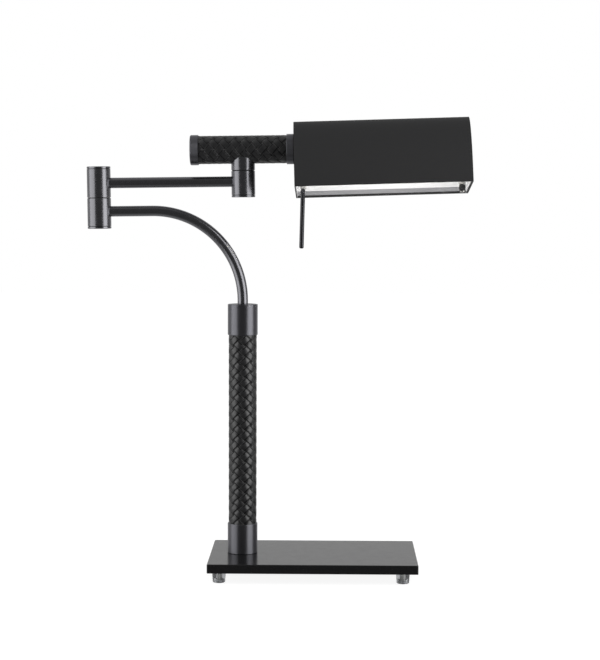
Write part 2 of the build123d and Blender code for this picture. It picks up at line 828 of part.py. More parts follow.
lever_axis = downward(shade, switch_x, lever_pivot)
lever_pin_axis = Plane(origin=lever_axis.origin, x_dir=shade.x_dir, z_dir=shade.y_dir)
with BuildPart() as switch_bush:
    with BuildSketch(downward(shade, switch_x, bracket_shelf)):
        Circle(switch_bush_radius)
        Circle(switch_bush_bore, mode=Mode.SUBTRACT)
    extrude(amount=bracket_shelf - switch_bush_bottom)
    with BuildSketch(lever_pin_axis):
        Circle(lever_pin_radius + running_fit)
    extrude(amount=lever_pin_reach + running_fit, both=True, mode=Mode.SUBTRACT)
finish(switch_bush, "switch_bush")

lever_frame = Plane(
    origin=lever_axis.origin,
    x_dir=lever_axis.x_dir.rotate(Axis((0, 0, 0), shade.y_dir), lever_rest),
    z_dir=lever_axis.z_dir.rotate(Axis((0, 0, 0), shade.y_dir), lever_rest),
)
shoulder = lever_pivot - lever_shoulder
lever_end = lever_pivot - lever_tip
with BuildPart() as switch_lever:
    with BuildSketch(lever_frame.offset(-lever_tail)):
        Circle(lever_neck)
    extrude(amount=lever_tail + shoulder)
    with BuildSketch(lever_frame.offset(shoulder)):
        Circle(lever_radius)
    extrude(amount=lever_end - shoulder)
    fillet(switch_lever.edges().group_by(Axis(lever_frame.origin, lever_frame.z_dir))[-1], lever_tip_edge)
    with Locations(lever_frame):
        Sphere(lever_ball)
    with BuildSketch(lever_pin_axis):
        Circle(lever_pin_radius)
    extrude(amount=lever_pin_reach, both=True)
finish(switch_lever, "switch_lever")

dimmer_bracket = bracket(outer_plate_x, dimmer_x, dimmer_bush_radius, -1)
finish(dimmer_bracket, "dimmer_bracket")

with BuildPart() as dimmer_body:
    add(control_body(dimmer_x).part)
    with BuildSketch(upward(shade, dimmer_x, bracket_shelf)):
        Circle(dimmer_shaft_radius + running_fit)
    extrude(amount=dimmer_hole_depth, mode=Mode.SUBTRACT)
finish(dimmer_body, "dimmer_body")

dimmer_bush = tube(
    downward(shade, dimmer_x, bracket_shelf),
    dimmer_bush_radius,
    dimmer_shaft_radius + running_fit,
    bracket_shelf - dimmer_bush_bottom,
)
finish(dimmer_bush, "dimmer_bush")

with BuildPart() as dimmer_knob:
    with BuildSketch(downward(shade, dimmer_x, knob_top)):
        Circle(knob_radius)
    extrude(amount=knob_top - knob_bottom)
    fillet(dimmer_knob.edges().filter_by(GeomType.CIRCLE), knob_edge)
    with BuildSketch(downward(shade, dimmer_x, dimmer_shaft_top)):
        Circle(dimmer_shaft_radius)
    extrude(amount=dimmer_shaft_top - knob_top)
finish(dimmer_knob, "dimmer_knob")

with BuildPart() as knob_insert:
    with BuildSketch(downward(shade, dimmer_x, knob_bottom)):
        Circle(insert_radius)
    extrude(amount=knob_bottom - insert_bottom)
    fillet(knob_insert.edges().group_by(Axis(shade.origin, -shade.z_dir))[-1], insert_edge)
finish(knob_insert, "knob_insert")
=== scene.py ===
"""Looks for a piano lamp with a swing arm.

Finishes for its metal, enamel and plastic pieces, plaited leather sleeves on the stem and the handle,
a fluted dimmer knob, and a plain studio. Metres, +Z up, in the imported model's own frame: the lamp
stands along X, its shade's raised lip faces -Y.
"""
import json
import math

import bpy
from mathutils import Matrix, Vector


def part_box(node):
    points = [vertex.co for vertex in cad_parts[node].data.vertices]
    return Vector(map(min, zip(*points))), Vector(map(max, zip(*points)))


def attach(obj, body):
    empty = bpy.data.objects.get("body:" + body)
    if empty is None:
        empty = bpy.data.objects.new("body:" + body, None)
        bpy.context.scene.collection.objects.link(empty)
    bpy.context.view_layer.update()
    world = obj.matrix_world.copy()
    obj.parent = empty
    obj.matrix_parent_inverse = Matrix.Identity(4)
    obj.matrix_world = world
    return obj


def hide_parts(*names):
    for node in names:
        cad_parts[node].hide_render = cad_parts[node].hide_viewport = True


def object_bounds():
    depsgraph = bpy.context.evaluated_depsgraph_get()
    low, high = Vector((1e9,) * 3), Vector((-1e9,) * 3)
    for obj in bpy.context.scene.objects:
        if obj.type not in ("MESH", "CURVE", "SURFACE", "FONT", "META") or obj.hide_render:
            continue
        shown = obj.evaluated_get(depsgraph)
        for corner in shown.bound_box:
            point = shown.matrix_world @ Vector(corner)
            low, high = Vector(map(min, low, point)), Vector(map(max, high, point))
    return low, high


bl_info = {
    "name": "Piano lamp",
    "version": (1, 0, 0),
    "blender": (4, 5, 0),
    "location": "3D View > Sidebar > Piano lamp",
    "description": "Dresses a packed piano lamp and sets up a plain studio round it",
    "category": "Object",
}

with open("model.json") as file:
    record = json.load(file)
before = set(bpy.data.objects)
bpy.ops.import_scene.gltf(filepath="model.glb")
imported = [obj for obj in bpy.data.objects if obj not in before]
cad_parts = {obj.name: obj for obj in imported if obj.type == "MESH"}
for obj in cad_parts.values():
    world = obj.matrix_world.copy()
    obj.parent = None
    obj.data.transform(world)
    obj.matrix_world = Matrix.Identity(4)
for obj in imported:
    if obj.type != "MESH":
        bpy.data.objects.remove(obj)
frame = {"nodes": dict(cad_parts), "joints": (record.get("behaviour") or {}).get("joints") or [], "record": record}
cad_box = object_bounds()
joints = {joint["name"]: joint for joint in frame["joints"]}
MM = 0.001


def srgb(code):
    """A linear colour from an sRGB hex code."""
    parts = [int(code[place:place + 2], 16) / 255 for place in (1, 3, 5)]
    linear = [part / 12.92 if part <= 0.04045 else ((part + 0.055) / 1.055) ** 2.4 for part in parts]
    return (*linear, 1.0)


def plug(tree, socket, value):
    """Set an input socket to a value, or link a node or socket to it."""
    if isinstance(value, bpy.types.Node):
        value = value.outputs[0]
    if isinstance(value, bpy.types.NodeSocket):
        tree.links.new(value, socket)
    else:
        socket.default_value = value


def add_node(tree, kind, inputs=(), **settings):
    """Add a node with its settings; each input is a value, or a node or socket to link."""
    made = tree.nodes.new(kind)
    for name, value in settings.items():
        setattr(made, name, value)
    pairs = inputs.items() if isinstance(inputs, dict) else enumerate(inputs)
    for place, value in pairs:
        plug(tree, made.inputs[place], value)
    return made


def maths(tree):
    """Two functions that add maths nodes to the tree: one for any operation, one for a product."""

    def calculate(operation, *values):
        return add_node(tree, "ShaderNodeMath", values, operation=operation)

    def times(first, *others):
        product = first
        for other in others:
            product = calculate("MULTIPLY", product, other)
        return product

    return calculate, times


# ---- Places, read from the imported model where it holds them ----
def axis_frame(origin, along):
    """A matrix whose Z runs along an axis and whose -Y faces the front of the lamp."""
    back = Vector((0, 1, 0))
    right = back.cross(along).normalized()
    turned = Matrix((right, back, along)).transposed().to_4x4()
    return Matrix.Translation(origin) @ turned


def reach(node, place):
    """The lowest and highest Z, and the largest radius, of a CAD node in an axis frame."""
    inward = place.inverted()
    points = [inward @ vertex.co for vertex in frame["nodes"][node].data.vertices]
    heights = [point.z for point in points]
    return min(heights), max(heights), max(point.xy.length for point in points)


tube_low, tube_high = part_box("stem_tube")
stem_axis = axis_frame(Vector(((tube_low.x + tube_high.x) / 2, 0, 0)), Vector((0, 0, 1)))
handle_axis = axis_frame(Vector(joints["shade_tilt"]["pos_m"]), Vector(joints["shade_tilt"]["axis"]))
knob_axis = axis_frame(Vector(joints["dimmer_turn"]["pos_m"]), Vector(joints["dimmer_turn"]["axis"]))

# The plane through the shade's two lips, and the width of the band along it where the liner is grey instead of
# white.
LIPS_NORMAL = (-0.031082, 0.144356, 0.989038)
LIPS_HEIGHT = 420.25 * MM
LIPS_MARGIN = 7.3 * MM
# The shade's long direction, and a level along it between its two ends.
SHADE_ALONG = (0.999507, 0.0, 0.031411)
SHADE_MIDDLE = 129 * MM


# ---- Finishes ----
def blank_finish(name):
    """A material with only its Principled shader and output, and that shader."""
    material = bpy.data.materials.new(name)
    material.use_nodes = True
    tree = material.node_tree
    tree.nodes.clear()
    shader = add_node(tree, "ShaderNodeBsdfPrincipled")
    add_node(tree, "ShaderNodeOutputMaterial", [shader])
    return material, tree, shader


def set_shader(tree, shader, **values):
    """Give a Principled shader's own inputs their values, or the nodes or sockets that feed them."""
    for name, value in values.items():
        plug(tree, shader.inputs[name.replace("_", " ")], value)


def object_place(tree, stretch=(1, 1, 1)):
    """Object coordinates, stretched along each axis."""
    place = add_node(tree, "ShaderNodeTexCoord").outputs["Object"]
    return add_node(tree, "ShaderNodeMapping", {"Vector": place, "Scale": stretch})


def speckle(tree, place, size, detail=2.0):
    """Noise whose spots are about as wide as size."""
    return add_node(
        tree, "ShaderNodeTexNoise", {"Vector": place, "Scale": 1 / size, "Detail": detail}
    ).outputs["Fac"]


def ramp(tree, value, start, end, low=0.0, high=1.0, **settings):
    """Map a value's range from start to end onto the range from low to high."""
    return add_node(tree, "ShaderNodeMapRange", [value, start, end, low, high], **settings).outputs[0]


def spread(tree, value, low, high):
    """Map the middle of a noise value onto a range."""
    return ramp(tree, value, 0.3, 0.7, low, high)


def share(tree, vector, direction):
    """How far a vector goes along a direction."""
    return add_node(
        tree, "ShaderNodeVectorMath", [vector, direction], operation="DOT_PRODUCT"
    ).outputs["Value"]


def blend(tree, amount, first, second):
    """The first colour where the amount is 0, the second where it is 1."""
    mix = add_node(tree, "ShaderNodeMix", {"Factor": amount, "A": first, "B": second}, data_type="RGBA")
    return mix.outputs["Result"]


def relief(tree, shader, height, depth):
    """Bump of a given depth from a height value of 0 to 1."""
    bump = add_node(tree, "ShaderNodeBump", {"Distance": depth, "Height": height})
    set_shader(tree, shader, Normal=bump)


def satin_stove_enamel():
    """Baked satin black enamel on a steel plate: a smooth dark film, with a faint orange peel."""
    material, tree, shader = blank_finish("satin_stove_enamel")
    place = object_place(tree)
    sheen = spread(tree, speckle(tree, place, 9 * MM), 0.15, 0.2)
    set_shader(tree, shader, Base_Color=srgb("#161617"), IOR=1.5, Roughness=sheen)
    relief(tree, shader, speckle(tree, place, 1.6 * MM), 0.004 * MM)
    return material


def matt_powder_coat():
    """Matt black powder coat: fine even grains that scatter nearly all of the light."""
    material, tree, shader = blank_finish("matt_powder_coat")
    set_shader(tree, shader, Base_Color=srgb("#262627"), Roughness=0.62, IOR=1.48)
    relief(tree, shader, speckle(tree, object_place(tree), 0.7 * MM, 3.0), 0.05 * MM)
    return material


def enamelled_powder_coat():
    """Matt black powder coat, with sprayed white enamel on the faces that look into the shade."""
    material, tree, shader = blank_finish("enamelled_powder_coat")
    calculate, times = maths(tree)
    place = add_node(tree, "ShaderNodeTexCoord").outputs
    to_middle = calculate("SUBTRACT", SHADE_MIDDLE, share(tree, place["Object"], SHADE_ALONG))
    inward = times(to_middle, share(tree, place["Normal"], SHADE_ALONG))
    white_part = ramp(tree, inward, 50 * MM, 80 * MM)
    set_shader(
        tree,
        shader,
        Base_Color=blend(tree, white_part, srgb("#262627"), srgb("#f4f4f5")),
        IOR=1.48,
        Roughness=ramp(tree, white_part, 0.0, 1.0, 0.62, 0.35),
    )
    relief(tree, shader, speckle(tree, object_place(tree), 0.7 * MM, 3.0), 0.05 * MM)
    return material


def turned_plate(name, axis, stretch):
    """A satin gunmetal plate on turned steel, with rings round an axis."""
    material, tree, shader = blank_finish(name)
    quarter_turn = 0.25
    rings = speckle(tree, object_place(tree, stretch), 0.35 * MM, 3.0)
    set_shader(
        tree,
        shader,
        Base_Color=srgb("#7b7b80"),
        Metallic=1.0,
        Anisotropic=0.8,
        Anisotropic_Rotation=quarter_turn,
        Tangent=add_node(tree, "ShaderNodeTangent", direction_type="RADIAL", axis=axis),
        Roughness=spread(tree, rings, 0.38, 0.46),
    )
    relief(tree, shader, rings, 0.003 * MM)
    return material


def turned_gunmetal():
    """Turned steel with a satin gunmetal plate: fine rings from the lathe stretch each highlight along it."""
    return turned_plate("turned_gunmetal", "Z", (0.02, 0.02, 1))


def turned_gunmetal_across():
    """The same turned gunmetal plate, on pieces whose axis lies along X."""
    return turned_plate("turned_gunmetal_across", "X", (1, 0.02, 0.02))


def polished_black_nickel():
    """Steel with a black nickel plate: dark, softly glossy, slightly clouded, with painted shade darkening it down
    in its grooves.
    """
    material, tree, shader = blank_finish("polished_black_nickel")
    # Painted shade: the colour turns nearly black where nearby surfaces close over the plate, as in its grooves.
    groove_occlusion = add_node(tree, "ShaderNodeAmbientOcclusion", {"Distance": 1.6 * MM}, samples=32).outputs["AO"]
    clear_of_painted_groove_shade = ramp(tree, groove_occlusion, 0.4, 0.75)
    set_shader(
        tree,
        shader,
        Base_Color=blend(tree, clear_of_painted_groove_shade, srgb("#1c1c1d"), srgb("#87878b")),
        Metallic=1.0,
        Roughness=spread(tree, speckle(tree, object_place(tree), 6 * MM), 0.22, 0.28),
    )
    return material


def blackened_steel():
    """Thin steel rod, chemically blackened and oiled: nearly black, with a narrow sheen."""
    material, tree, shader = blank_finish("blackened_steel")
    sheen = spread(tree, speckle(tree, object_place(tree), 6 * MM), 0.22, 0.28)
    set_shader(tree, shader, Base_Color=srgb("#4a4a4d"), Metallic=1.0, Roughness=sheen)
    return material


def satin_zinc_plate():
    """Zinc-plated steel: pale grey, satin, with a soft mottle."""
    material, tree, shader = blank_finish("satin_zinc_plate")
    mottle = speckle(tree, object_place(tree), 1.5 * MM)
    colour = blend(tree, mottle, srgb("#a9a9a4"), srgb("#c9c8c0"))
    set_shader(tree, shader, Base_Color=colour, Metallic=1.0, Roughness=spread(tree, mottle, 0.28, 0.42))
    return material


def polished_bright_nickel():
    """Polished nickel plate: bright and slightly warm."""
    material, tree, shader = blank_finish("polished_bright_nickel")
    sheen = spread(tree, speckle(tree, object_place(tree), 2 * MM), 0.14, 0.22)
    set_shader(tree, shader, Base_Color=srgb("#c6c5c1"), Metallic=1.0, Roughness=sheen)
    return material


def mill_aluminium():
    """Extruded aluminium as it leaves the die: pale grey with faint lines along the bar."""
    material, tree, shader = blank_finish("mill_aluminium")
    lines = speckle(tree, object_place(tree, (0.03, 1, 1)), 0.4 * MM, 3.0)
    set_shader(tree, shader, Base_Color=srgb("#c4c5c7"), Metallic=1.0, Roughness=spread(tree, lines, 0.3, 0.44))
    relief(tree, shader, lines, 0.004 * MM)
    return material


def sprayed_white_enamel():
    """Sprayed white enamel: bright, semi-gloss, a little orange peel, and grey instead of white in a band along the
    lips.
    """
    material, tree, shader = blank_finish("sprayed_white_enamel")
    place = object_place(tree)
    # Grey, not white, within LIPS_MARGIN of the lips' plane.
    edge = LIPS_HEIGHT + LIPS_MARGIN
    softness = 0.2 * MM
    white_part = ramp(tree, share(tree, place, LIPS_NORMAL), edge - softness, edge + softness)
    colour = blend(tree, white_part, srgb("#98989b"), srgb("#f4f4f5"))
    set_shader(tree, shader, Base_Color=colour, Roughness=0.35, IOR=1.5)
    relief(tree, shader, speckle(tree, place, 1.2 * MM), 0.006 * MM)
    return material


def moulded_clear_pvc():
    """Clear moulded PVC: bends the light, slightly misted on the surface."""
    material, tree, shader = blank_finish("moulded_clear_pvc")
    mist = spread(tree, speckle(tree, object_place(tree), 1.5 * MM), 0.12, 0.24)
    set_shader(tree, shader, Base_Color=srgb("#e9ebee"), IOR=1.53, Transmission_Weight=0.92, Roughness=mist)
    return material


def extruded_opal_acrylic():
    """Extruded opal acrylic: milky, satin, lit from behind by the board's light."""
    material, tree, shader = blank_finish("extruded_opal_acrylic")
    set_shader(tree, shader, Base_Color=srgb("#efefec"), Roughness=0.38, IOR=1.49)
    set_shader(tree, shader, Subsurface_Weight=0.4, Subsurface_Radius=(1.0, 1.0, 0.9), Subsurface_Scale=1.5 * MM)
    set_shader(tree, shader, Emission_Color=srgb("#fffdf8"), Emission_Strength=5.0)
    relief(tree, shader, speckle(tree, object_place(tree, (0.1, 1, 1)), 0.8 * MM), 0.004 * MM)
    return material


def white_solder_mask():
    """White solder mask on a circuit board: flat white with a faint weave under it."""
    material, tree, shader = blank_finish("white_solder_mask")
    set_shader(tree, shader, Base_Color=srgb("#e6e7e2"), Roughness=0.42, IOR=1.5)
    weave = add_node(
        tree, "ShaderNodeTexBrick", {"Vector": object_place(tree), "Scale": 1 / (1.2 * MM), "Mortar Size": 0.1}
    )
    relief(tree, shader, weave.outputs["Fac"], 0.01 * MM)
    return material


def moulded_black_nylon():
    """Moulded black nylon: dull, with the fine grain of its mould."""
    material, tree, shader = blank_finish("moulded_black_nylon")
    set_shader(tree, shader, Base_Color=srgb("#1a1a1b"), Roughness=0.52, IOR=1.53)
    relief(tree, shader, speckle(tree, object_place(tree), 0.5 * MM), 0.02 * MM)
    return material


def moulded_black_abs():
    """Moulded black ABS: fairly glossy where fingers polish it."""
    material, tree, shader = blank_finish("moulded_black_abs")
    wear = speckle(tree, object_place(tree), 1.2 * MM)
    set_shader(tree, shader, Base_Color=srgb("#1d1d1f"), IOR=1.54, Roughness=spread(tree, wear, 0.26, 0.4))
    relief(tree, shader, wear, 0.006 * MM)
    return material


def black_aniline_leather():
    """Black aniline leather in straps: pebbled grain, and a line tooled along each side, darker and duller partly
    from the creased leather's own tone and partly as painted shade in its groove.

    The plait stores the place on the strap as "strap", and -1 to 1 across it as "off_centre".
    """
    material, tree, shader = blank_finish("black_aniline_leather")
    calculate, times = maths(tree)
    strap = add_node(tree, "ShaderNodeAttribute", attribute_name="strap").outputs["Vector"]
    off_centre = add_node(tree, "ShaderNodeAttribute", attribute_name="off_centre").outputs["Fac"]
    pebbles = add_node(
        tree, "ShaderNodeTexVoronoi", {"Vector": strap, "Scale": 1 / (0.75 * MM)}, feature="SMOOTH_F1"
    ).outputs["Distance"]
    creases = speckle(tree, strap, 2.2 * MM, 4.0)
    grain = calculate("ADD", pebbles, creases)
    line_middle = 0.76
    line_bed = 0.04
    line_edge = 0.14
    line_depth = 3.0
    from_line = calculate("ABSOLUTE", calculate("SUBTRACT", calculate("ABSOLUTE", off_centre), line_middle))
    surface = ramp(tree, from_line, line_bed, line_edge, interpolation_type="SMOOTHSTEP")
    relief(tree, shader, calculate("ADD", grain, times(surface, line_depth)), 0.06 * MM)
    tone = blend(tree, creases, srgb("#131314"), srgb("#1f1f21"))
    # Near-black colour and weak reflection in the tooled line: partly the creased leather's own tone, partly
    # painted shade in the groove.
    set_shader(
        tree,
        shader,
        Base_Color=blend(tree, surface, srgb("#060606"), tone),
        IOR=1.5,
        Specular_IOR_Level=ramp(tree, surface, 0.0, 1.0, 0.1, 1.0),
        Roughness=spread(tree, creases, 0.28, 0.38),
    )
    return material


FINISH_OF_SLOT = {
    "base_paint": satin_stove_enamel,
    "clear_foot": moulded_clear_pvc,
    "zinc_steel": satin_zinc_plate,
    "nylon": moulded_black_nylon,
    "satin_gunmetal": turned_gunmetal,
    "black_nickel": polished_black_nickel,
    "leather": black_aniline_leather,
    "shade_paint": matt_powder_coat,
    "white_enamel": sprayed_white_enamel,
    "bar_aluminium": mill_aluminium,
    "board": white_solder_mask,
    "opal": extruded_opal_acrylic,
    "control_plastic": moulded_black_nylon,
    "bright_nickel": polished_bright_nickel,
    "knob_plastic": moulded_black_abs,
}
# Pieces whose own finish differs from their slot's.
FINISH_OF_NODE = {
    "handle_end_cap": turned_gunmetal_across,
    "handle_ferrule": turned_gunmetal_across,
    "switch_lever": blackened_steel,
    "shade_inner_end": enamelled_powder_coat,
    "shade_outer_end": enamelled_powder_coat,
}


def finish_for(slot, node=None):
    """The material of a node that has its own, or else of its slot, made once."""
    maker = FINISH_OF_NODE.get(node) or FINISH_OF_SLOT[slot]
    return bpy.data.materials.get(maker.__name__) or maker()


# ---- Pieces grown by node trees ----
def start_tree(name, sizes):
    """A geometry tree with named inputs, and its group input's sockets by name."""
    tree = bpy.data.node_groups.new(name, "GeometryNodeTree")
    for label, value in sizes.items():
        kind = "NodeSocketInt" if isinstance(value, int) else "NodeSocketFloat"
        tree.interface.new_socket(name=label, in_out="INPUT", socket_type=kind).default_value = value
    tree.interface.new_socket(name="Finish", in_out="INPUT", socket_type="NodeSocketMaterial")
    tree.interface.new_socket(name="Geometry", in_out="OUTPUT", socket_type="NodeSocketGeometry")
    given = add_node(tree, "NodeGroupInput").outputs
    return tree, given


def end_tree(tree, given, geometry):
    """Close a tree: smooth faces, realised instances and the finish."""
    smooth = add_node(tree, "GeometryNodeSetShadeSmooth", [geometry])
    real = add_node(tree, "GeometryNodeRealizeInstances", [smooth])
    dressed = add_node(tree, "GeometryNodeSetMaterial", {"Geometry": real, "Material": given["Finish"]})
    add_node(tree, "NodeGroupOutput", [dressed])


def grow(name, tree, sizes, finish, place):
    """Run a tree on an empty mesh, keep its result as a plain mesh, and set that in its place."""
    piece = bpy.data.objects.new(name, bpy.data.meshes.new(name))
    bpy.context.scene.collection.objects.link(piece)
    modifier = piece.modifiers.new(name, "NODES")
    modifier.node_group = tree
    for item in tree.interface.items_tree:
        if item.in_out == "INPUT":
            modifier[item.identifier] = finish if item.name == "Finish" else sizes[item.name]
    graph = bpy.context.evaluated_depsgraph_get()
    mesh = bpy.data.meshes.new_from_object(
        piece.evaluated_get(graph), preserve_all_data_layers=True, depsgraph=graph
    )
    piece.modifiers.remove(modifier)
    piece.data = mesh
    mesh.name = name
    mesh.transform(place)
    return piece


def place_parts(tree):
    """The X, Y and Z of each point, at the step that reads them."""
    return add_node(tree, "ShaderNodeSeparateXYZ", [add_node(tree, "GeometryNodeInputPosition")]).outputs


def store(tree, geometry, name, value, kind="FLOAT"):
    """Store a value on the points of a geometry."""
    return add_node(
        tree,
        "GeometryNodeStoreNamedAttribute",
        {"Geometry": geometry, "Name": name, "Value": value},
        data_type=kind,
        domain="POINT",
    )


def plait_tree():
    """A plait of flat straps that spiral both ways round a tube and pass over and under each other.

    Straps are first laid straight and upright side by side, then slid into a slant and wrapped.
    """
    tree, given = start_tree(
        "plaited_sleeve",
        {
            "Straps": 7,
            "Crossings over": 1,
            "Pitch": 11.79 * MM,
            "Radius": 15.75 * MM,
            "Thickness": 0.9 * MM,
            "Cover": 0.95,
            "Crown": 0.12 * MM,
            "Crispness": 4.0,
            "Bottom": 0.0,
            "Top": 0.1,
            "Rows": 120,
            "Turn": 0.0,
            "Rise": 0.0,
            "Opening": 0.0,
            "Opening height": 0.0,
        },
    )
    calculate, times = maths(tree)
    girth = times(given["Radius"], math.tau)
    spacing = calculate("DIVIDE", girth, given["Straps"])
    length = calculate("SUBTRACT", given["Top"], given["Bottom"])
    bar = add_node(
        tree,
        "GeometryNodeMeshCylinder",
        {"Vertices": 16, "Side Segments": given["Rows"], "Radius": 1.0, "Depth": length},
    )

    # The round bar becomes a strap, with flat faces, squared sides and a slight crown.
    corner = place_parts(tree)

    def squared(value, power):
        size = calculate("POWER", calculate("ABSOLUTE", value), power)
        return times(size, calculate("SIGN", value))

    side_power = 0.65
    face_power = 0.5
    half_width = times(spacing, given["Cover"], 0.5)
    half_thickness = times(given["Thickness"], 0.5)
    across = times(squared(corner["X"], side_power), half_width)
    off_centre = calculate("DIVIDE", across, half_width)
    fall = times(off_centre, off_centre, given["Crown"])
    level = calculate("SUBTRACT", times(squared(corner["Y"], face_power), half_thickness), fall)
    middle_height = times(calculate("ADD", given["Top"], given["Bottom"]), 0.5)
    height = calculate("ADD", corner["Z"], middle_height)
    section = add_node(tree, "ShaderNodeCombineXYZ", [across, level, height])
    strap = add_node(tree, "GeometryNodeSetPosition", {"Geometry": bar, "Position": section})
    strap_across = place_parts(tree)["X"]
    marked = store(tree, strap, "across", strap_across)
    marked = store(tree, marked, "off_centre", calculate("DIVIDE", strap_across, half_width))

    # One strap for each place round the tube, in two families that will slant against each other.
    step = add_node(tree, "ShaderNodeCombineXYZ", [spacing, 0.0, 0.0])
    places = add_node(tree, "GeometryNodeMeshLine", {"Count": given["Straps"], "Offset": step})
    row = add_node(tree, "GeometryNodeInstanceOnPoints", {"Points": places, "Instance": marked})
    both = add_node(tree, "GeometryNodeJoinGeometry")
    for side in (-1.0, 1.0):
        family = store(tree, add_node(tree, "GeometryNodeRealizeInstances", [row]), "slant", side)
        tree.links.new(family.outputs[0], both.inputs[0])
    flat = place_parts(tree)
    own_across, slant = (
        add_node(tree, "GeometryNodeInputNamedAttribute", {"Name": name}, data_type="FLOAT").outputs[0]
        for name in ("across", "slant")
    )
    families_apart = 0.3
    grain_place = add_node(tree, "ShaderNodeCombineXYZ", [flat["X"], times(slant, families_apart), flat["Z"]])
    grained = store(tree, both, "strap", grain_place, "FLOAT_VECTOR")

    # A strap's place along its spiral, in half strap widths, says which crossings it passes over.
    risen = calculate("DIVIDE", calculate("SUBTRACT", flat["Z"], given["Rise"]), given["Pitch"])
    strap_turns = calculate("ADD", calculate("DIVIDE", flat["X"], spacing), times(risen, slant))
    ahead = calculate("SUBTRACT", times(strap_turns, 2.0), calculate("DIVIDE", own_across, spacing))
    seam = calculate("SUBTRACT", 0.5, given["Straps"])
    column = calculate("WRAP", ahead, calculate("ADD", seam, times(given["Straps"], 2.0)), seam)
    first_middle = times(calculate("SUBTRACT", given["Crossings over"], 1.0), 0.5)
    half_turns = calculate("DIVIDE", calculate("SUBTRACT", column, first_middle), given["Crossings over"])
    wave = calculate("COSINE", times(half_turns, math.pi))
    crisp = calculate("TANH", times(wave, given["Crispness"]))
    over = times(crisp, slant, half_thickness)

    # The flat plait is wrapped round the tube.
    middle = calculate("SUBTRACT", given["Radius"], given["Thickness"])
    outward = calculate("ADD", calculate("SUBTRACT", middle, over), flat["Y"])
    angle = calculate("ADD", calculate("DIVIDE", times(strap_turns, math.tau), given["Straps"]), given["Turn"])
    right = times(outward, calculate("SINE", angle))
    back = times(outward, calculate("COSINE", angle), -1.0)
    wrapped = add_node(tree, "ShaderNodeCombineXYZ", [right, back, flat["Z"]])
    sleeve = add_node(tree, "GeometryNodeSetPosition", {"Geometry": grained, "Position": wrapped})
    turned_out = add_node(tree, "GeometryNodeFlipFaces", [sleeve])

    # A round opening on the +X side lets a fitting reach the tube.
    spot = place_parts(tree)
    beside = calculate("SUBTRACT", spot["Z"], given["Opening height"])
    away = calculate("SQRT", calculate("ADD", times(spot["Y"], spot["Y"]), times(beside, beside)))
    right_side = calculate("GREATER_THAN", spot["X"], 0.0)
    opened = times(calculate("LESS_THAN", away, given["Opening"]), right_side)
    trimmed = add_node(
        tree, "GeometryNodeDeleteGeometry", {"Geometry": turned_out, "Selection": opened}, domain="FACE"
    )
    end_tree(tree, given, trimmed)
    return tree


def knob_tree():
    """A round knob with flutes along its side and softened ends."""
    tree, given = start_tree(
        "fluted_knob",
        {
            "Radius": 3.55 * MM,
            "Bottom": 0.0,
            "Top": 6.8 * MM,
            "Edge": 1.1 * MM,
            "Flutes": 18,
            "Flute depth": 0.28 * MM,
        },
    )
    calculate, times = maths(tree)
    length = calculate("SUBTRACT", given["Top"], given["Bottom"])
    points_per_flute = 8.0
    around = times(given["Flutes"], points_per_flute)
    bar = add_node(
        tree,
        "GeometryNodeMeshCylinder",
        {"Vertices": around, "Side Segments": 28, "Fill Segments": 6, "Radius": 1.0, "Depth": length},
        fill_type="NGON",
    )
    point = place_parts(tree)
    from_end = calculate("SUBTRACT", times(length, 0.5), calculate("ABSOLUTE", point["Z"]))
    into_edge = calculate("MAXIMUM", calculate("SUBTRACT", 1.0, calculate("DIVIDE", from_end, given["Edge"])), 0.0)
    # A little over 1, so that the root stays real at the very end.
    whole = 1.0001
    bow = calculate("SQRT", calculate("SUBTRACT", whole, times(into_edge, into_edge)))
    edge_loss = times(calculate("SUBTRACT", 1.0, bow), given["Edge"])
    angle = calculate("ARCTAN2", point["Y"], point["X"])
    ripple = calculate("ABSOLUTE", calculate("SINE", times(angle, times(given["Flutes"], 0.5))))
    groove = times(calculate("SUBTRACT", 1.0, ripple), given["Flute depth"])
    smooth_radius = calculate("SUBTRACT", given["Radius"], edge_loss)
    radius = calculate("SUBTRACT", smooth_radius, times(groove, bow))
    middle_height = times(calculate("ADD", given["Top"], given["Bottom"]), 0.5)
    height = calculate("ADD", point["Z"], middle_height)
    shaped = add_node(
        tree, "ShaderNodeCombineXYZ", [times(point["X"], radius), times(point["Y"], radius), height]
    )
    end_tree(tree, given, add_node(tree, "GeometryNodeSetPosition", {"Geometry": bar, "Position": shaped}))
    return tree


# ---- Settings ----
class PianoLampSettings(bpy.types.PropertyGroup):
    """Sizes and levels that a user would change."""

    straps: bpy.props.IntProperty(name="Straps", description="Straps that spiral each way", default=7, min=3)
    crossings_over: bpy.props.IntProperty(
        name="Crossings over", description="Crossings that a strap passes over before it dives", default=1, min=1
    )
    pitch: bpy.props.FloatProperty(
        name="Pitch", description="Distance along the sleeve from strap to strap", default=11.79 * MM, unit="LENGTH"
    )
    strap_thickness: bpy.props.FloatProperty(
        name="Strap thickness", description="Thickness of the leather", default=0.9 * MM, unit="LENGTH"
    )
    stem_turn: bpy.props.FloatProperty(
        name="Stem plait turn", description="Turn of the stem's plait", default=math.radians(38), subtype="ANGLE"
    )
    stem_rise: bpy.props.FloatProperty(
        name="Stem plait rise", description="Height of a crossing on the stem", default=8.4 * MM, unit="LENGTH"
    )
    handle_turn: bpy.props.FloatProperty(
        name="Handle plait turn", description="Turn of the handle's plait", default=0.0, subtype="ANGLE"
    )
    flutes: bpy.props.IntProperty(name="Flutes", description="Flutes round the dimmer knob", default=18, min=6)
    right_light: bpy.props.FloatProperty(name="Right light", description="Radiance of the right panel", default=1.9)
    left_light: bpy.props.FloatProperty(name="Left light", description="Radiance of the left panel", default=1.2)
    room_light: bpy.props.FloatProperty(name="Room light", description="Even light from all round", default=0.5)


